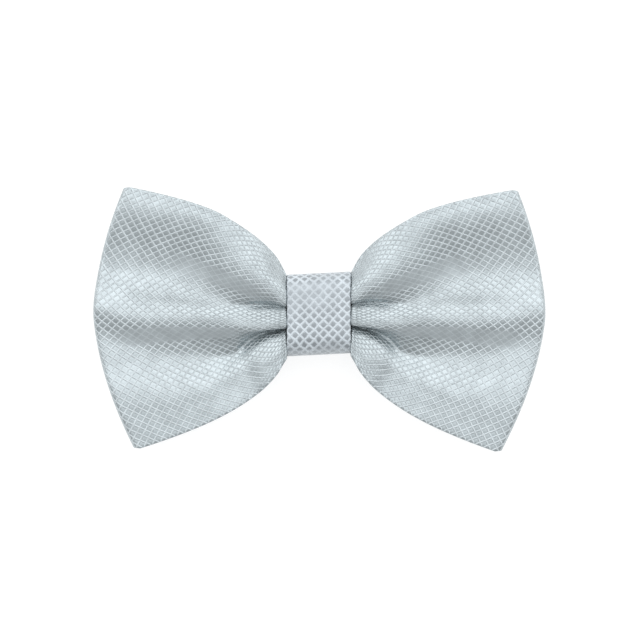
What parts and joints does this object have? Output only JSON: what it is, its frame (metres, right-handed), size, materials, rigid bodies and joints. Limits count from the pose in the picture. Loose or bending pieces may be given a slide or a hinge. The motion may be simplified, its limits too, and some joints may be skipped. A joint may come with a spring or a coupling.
{
  "type": "pre-tied bow tie",
  "caption": "Pre-tied bow of gathered patterned satin: a hollow folded loop drawn in by an upright knot band, with a spring collar clip hidden behind it.",
  "frame": {"origin": "middle of the flat lap at the back of the knot, the face that rests on a table", "axes": "+X across the bow to the viewer's right, +Y up the bow as worn, +Z out of its front"},
  "size_m": [0.1199, 0.0698, 0.0146],
  "materials": {
    "satin": "silver-grey satin with a woven lattice",
    "band_satin": "silver-grey satin with a woven lattice",
    "clip_steel": "bright spring steel"
  },
  "bodies": {
    "root": {"bow_loop": "satin", "knot_band": "band_satin", "collar_clip": "clip_steel"}
  },
  "joints": []
}
